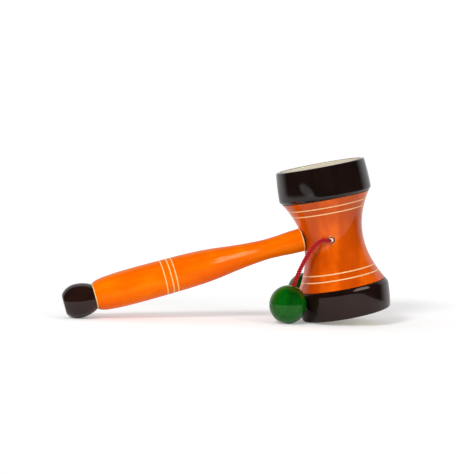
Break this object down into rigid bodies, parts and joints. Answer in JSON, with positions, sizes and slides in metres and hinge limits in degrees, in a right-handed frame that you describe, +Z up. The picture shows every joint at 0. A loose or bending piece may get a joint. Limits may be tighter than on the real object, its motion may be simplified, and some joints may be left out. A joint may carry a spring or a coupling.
{
  "type": "drum rattle",
  "caption": "Hand-held wooden rattle: a waisted drum with dark end hoops on a turned side handle, with beads on cords that strike the hoops when the handle is twisted.",
  "frame": {"origin": "on the table, half way along the rattle without its cords and beads, in its plane of symmetry", "axes": "+X level, from the knob towards the drum; +Z up from the table; the rattle lies on its knob and the lower hoop's rim, as pictured"},
  "size_m": [0.1793, 0.068, 0.0905],
  "materials": {
    "orange_drum_lacquer": "turned wood with glossy deep orange lacquer",
    "orange_handle_lacquer": "turned wood with glossy bright orange lacquer",
    "dark_lacquer": "turned wood with glossy blackish brown lacquer",
    "green_lacquer": "turned wood with glossy green lacquer",
    "cream_head": "dry cream hide",
    "red_cord": "twisted crimson cotton cord",
    "pale_wood": "bare pale wood"
  },
  "bodies": {
    "rattle": {"drum_shell": "orange_drum_lacquer", "upper_hoop": "dark_lacquer", "lower_hoop": "dark_lacquer", "upper_head": "cream_head", "lower_head": "cream_head", "handle": "orange_handle_lacquer", "handle_knob": "dark_lacquer", "front_peg": "pale_wood", "back_peg": "pale_wood"},
    "front_root": {"front_cord_root": "red_cord"},
    "front_line": {"front_cord": "red_cord", "front_knot": "red_cord"},
    "front_ball": {"front_bead": "green_lacquer"},
    "back_root": {"back_cord_root": "red_cord"},
    "back_line": {"back_cord": "red_cord", "back_knot": "red_cord"},
    "back_ball": {"back_bead": "green_lacquer"}
  },
  "joints": [
    {"name": "front_swing", "type": "hinge", "parent": "rattle", "child": "front_root", "pos_m": [0.05073, -0.01704, 0.04517], "axis": [-0.9759, 0, -0.2184], "range_deg": [0, 200]},
    {"name": "front_sway", "type": "hinge", "parent": "front_root", "child": "front_line", "pos_m": [0.04314, -0.01516, 0.04185], "axis": [0, 1, 0], "range_deg": [0, 25]},
    {"name": "front_spin", "type": "hinge", "parent": "front_line", "child": "front_ball", "pos_m": [0.03064, -0.01233, 0.01038], "axis": [0.2585, -0.0302, 0.9656], "continuous": true},
    {"name": "back_swing", "type": "hinge", "parent": "rattle", "child": "back_root", "pos_m": [0.05073, 0.01704, 0.04517], "axis": [0.9759, 0, 0.2184], "range_deg": [0, 124]},
    {"name": "back_sway", "type": "hinge", "parent": "back_root", "child": "back_line", "pos_m": [0.05029, 0.02134, 0.03962], "axis": [0, 1, 0], "range_deg": [0, 25]},
    {"name": "back_spin", "type": "hinge", "parent": "back_line", "child": "back_ball", "pos_m": [0.04986, 0.03286, 0.01404], "axis": [0.0052, -0.4501, 0.8929], "continuous": true}
  ]
}
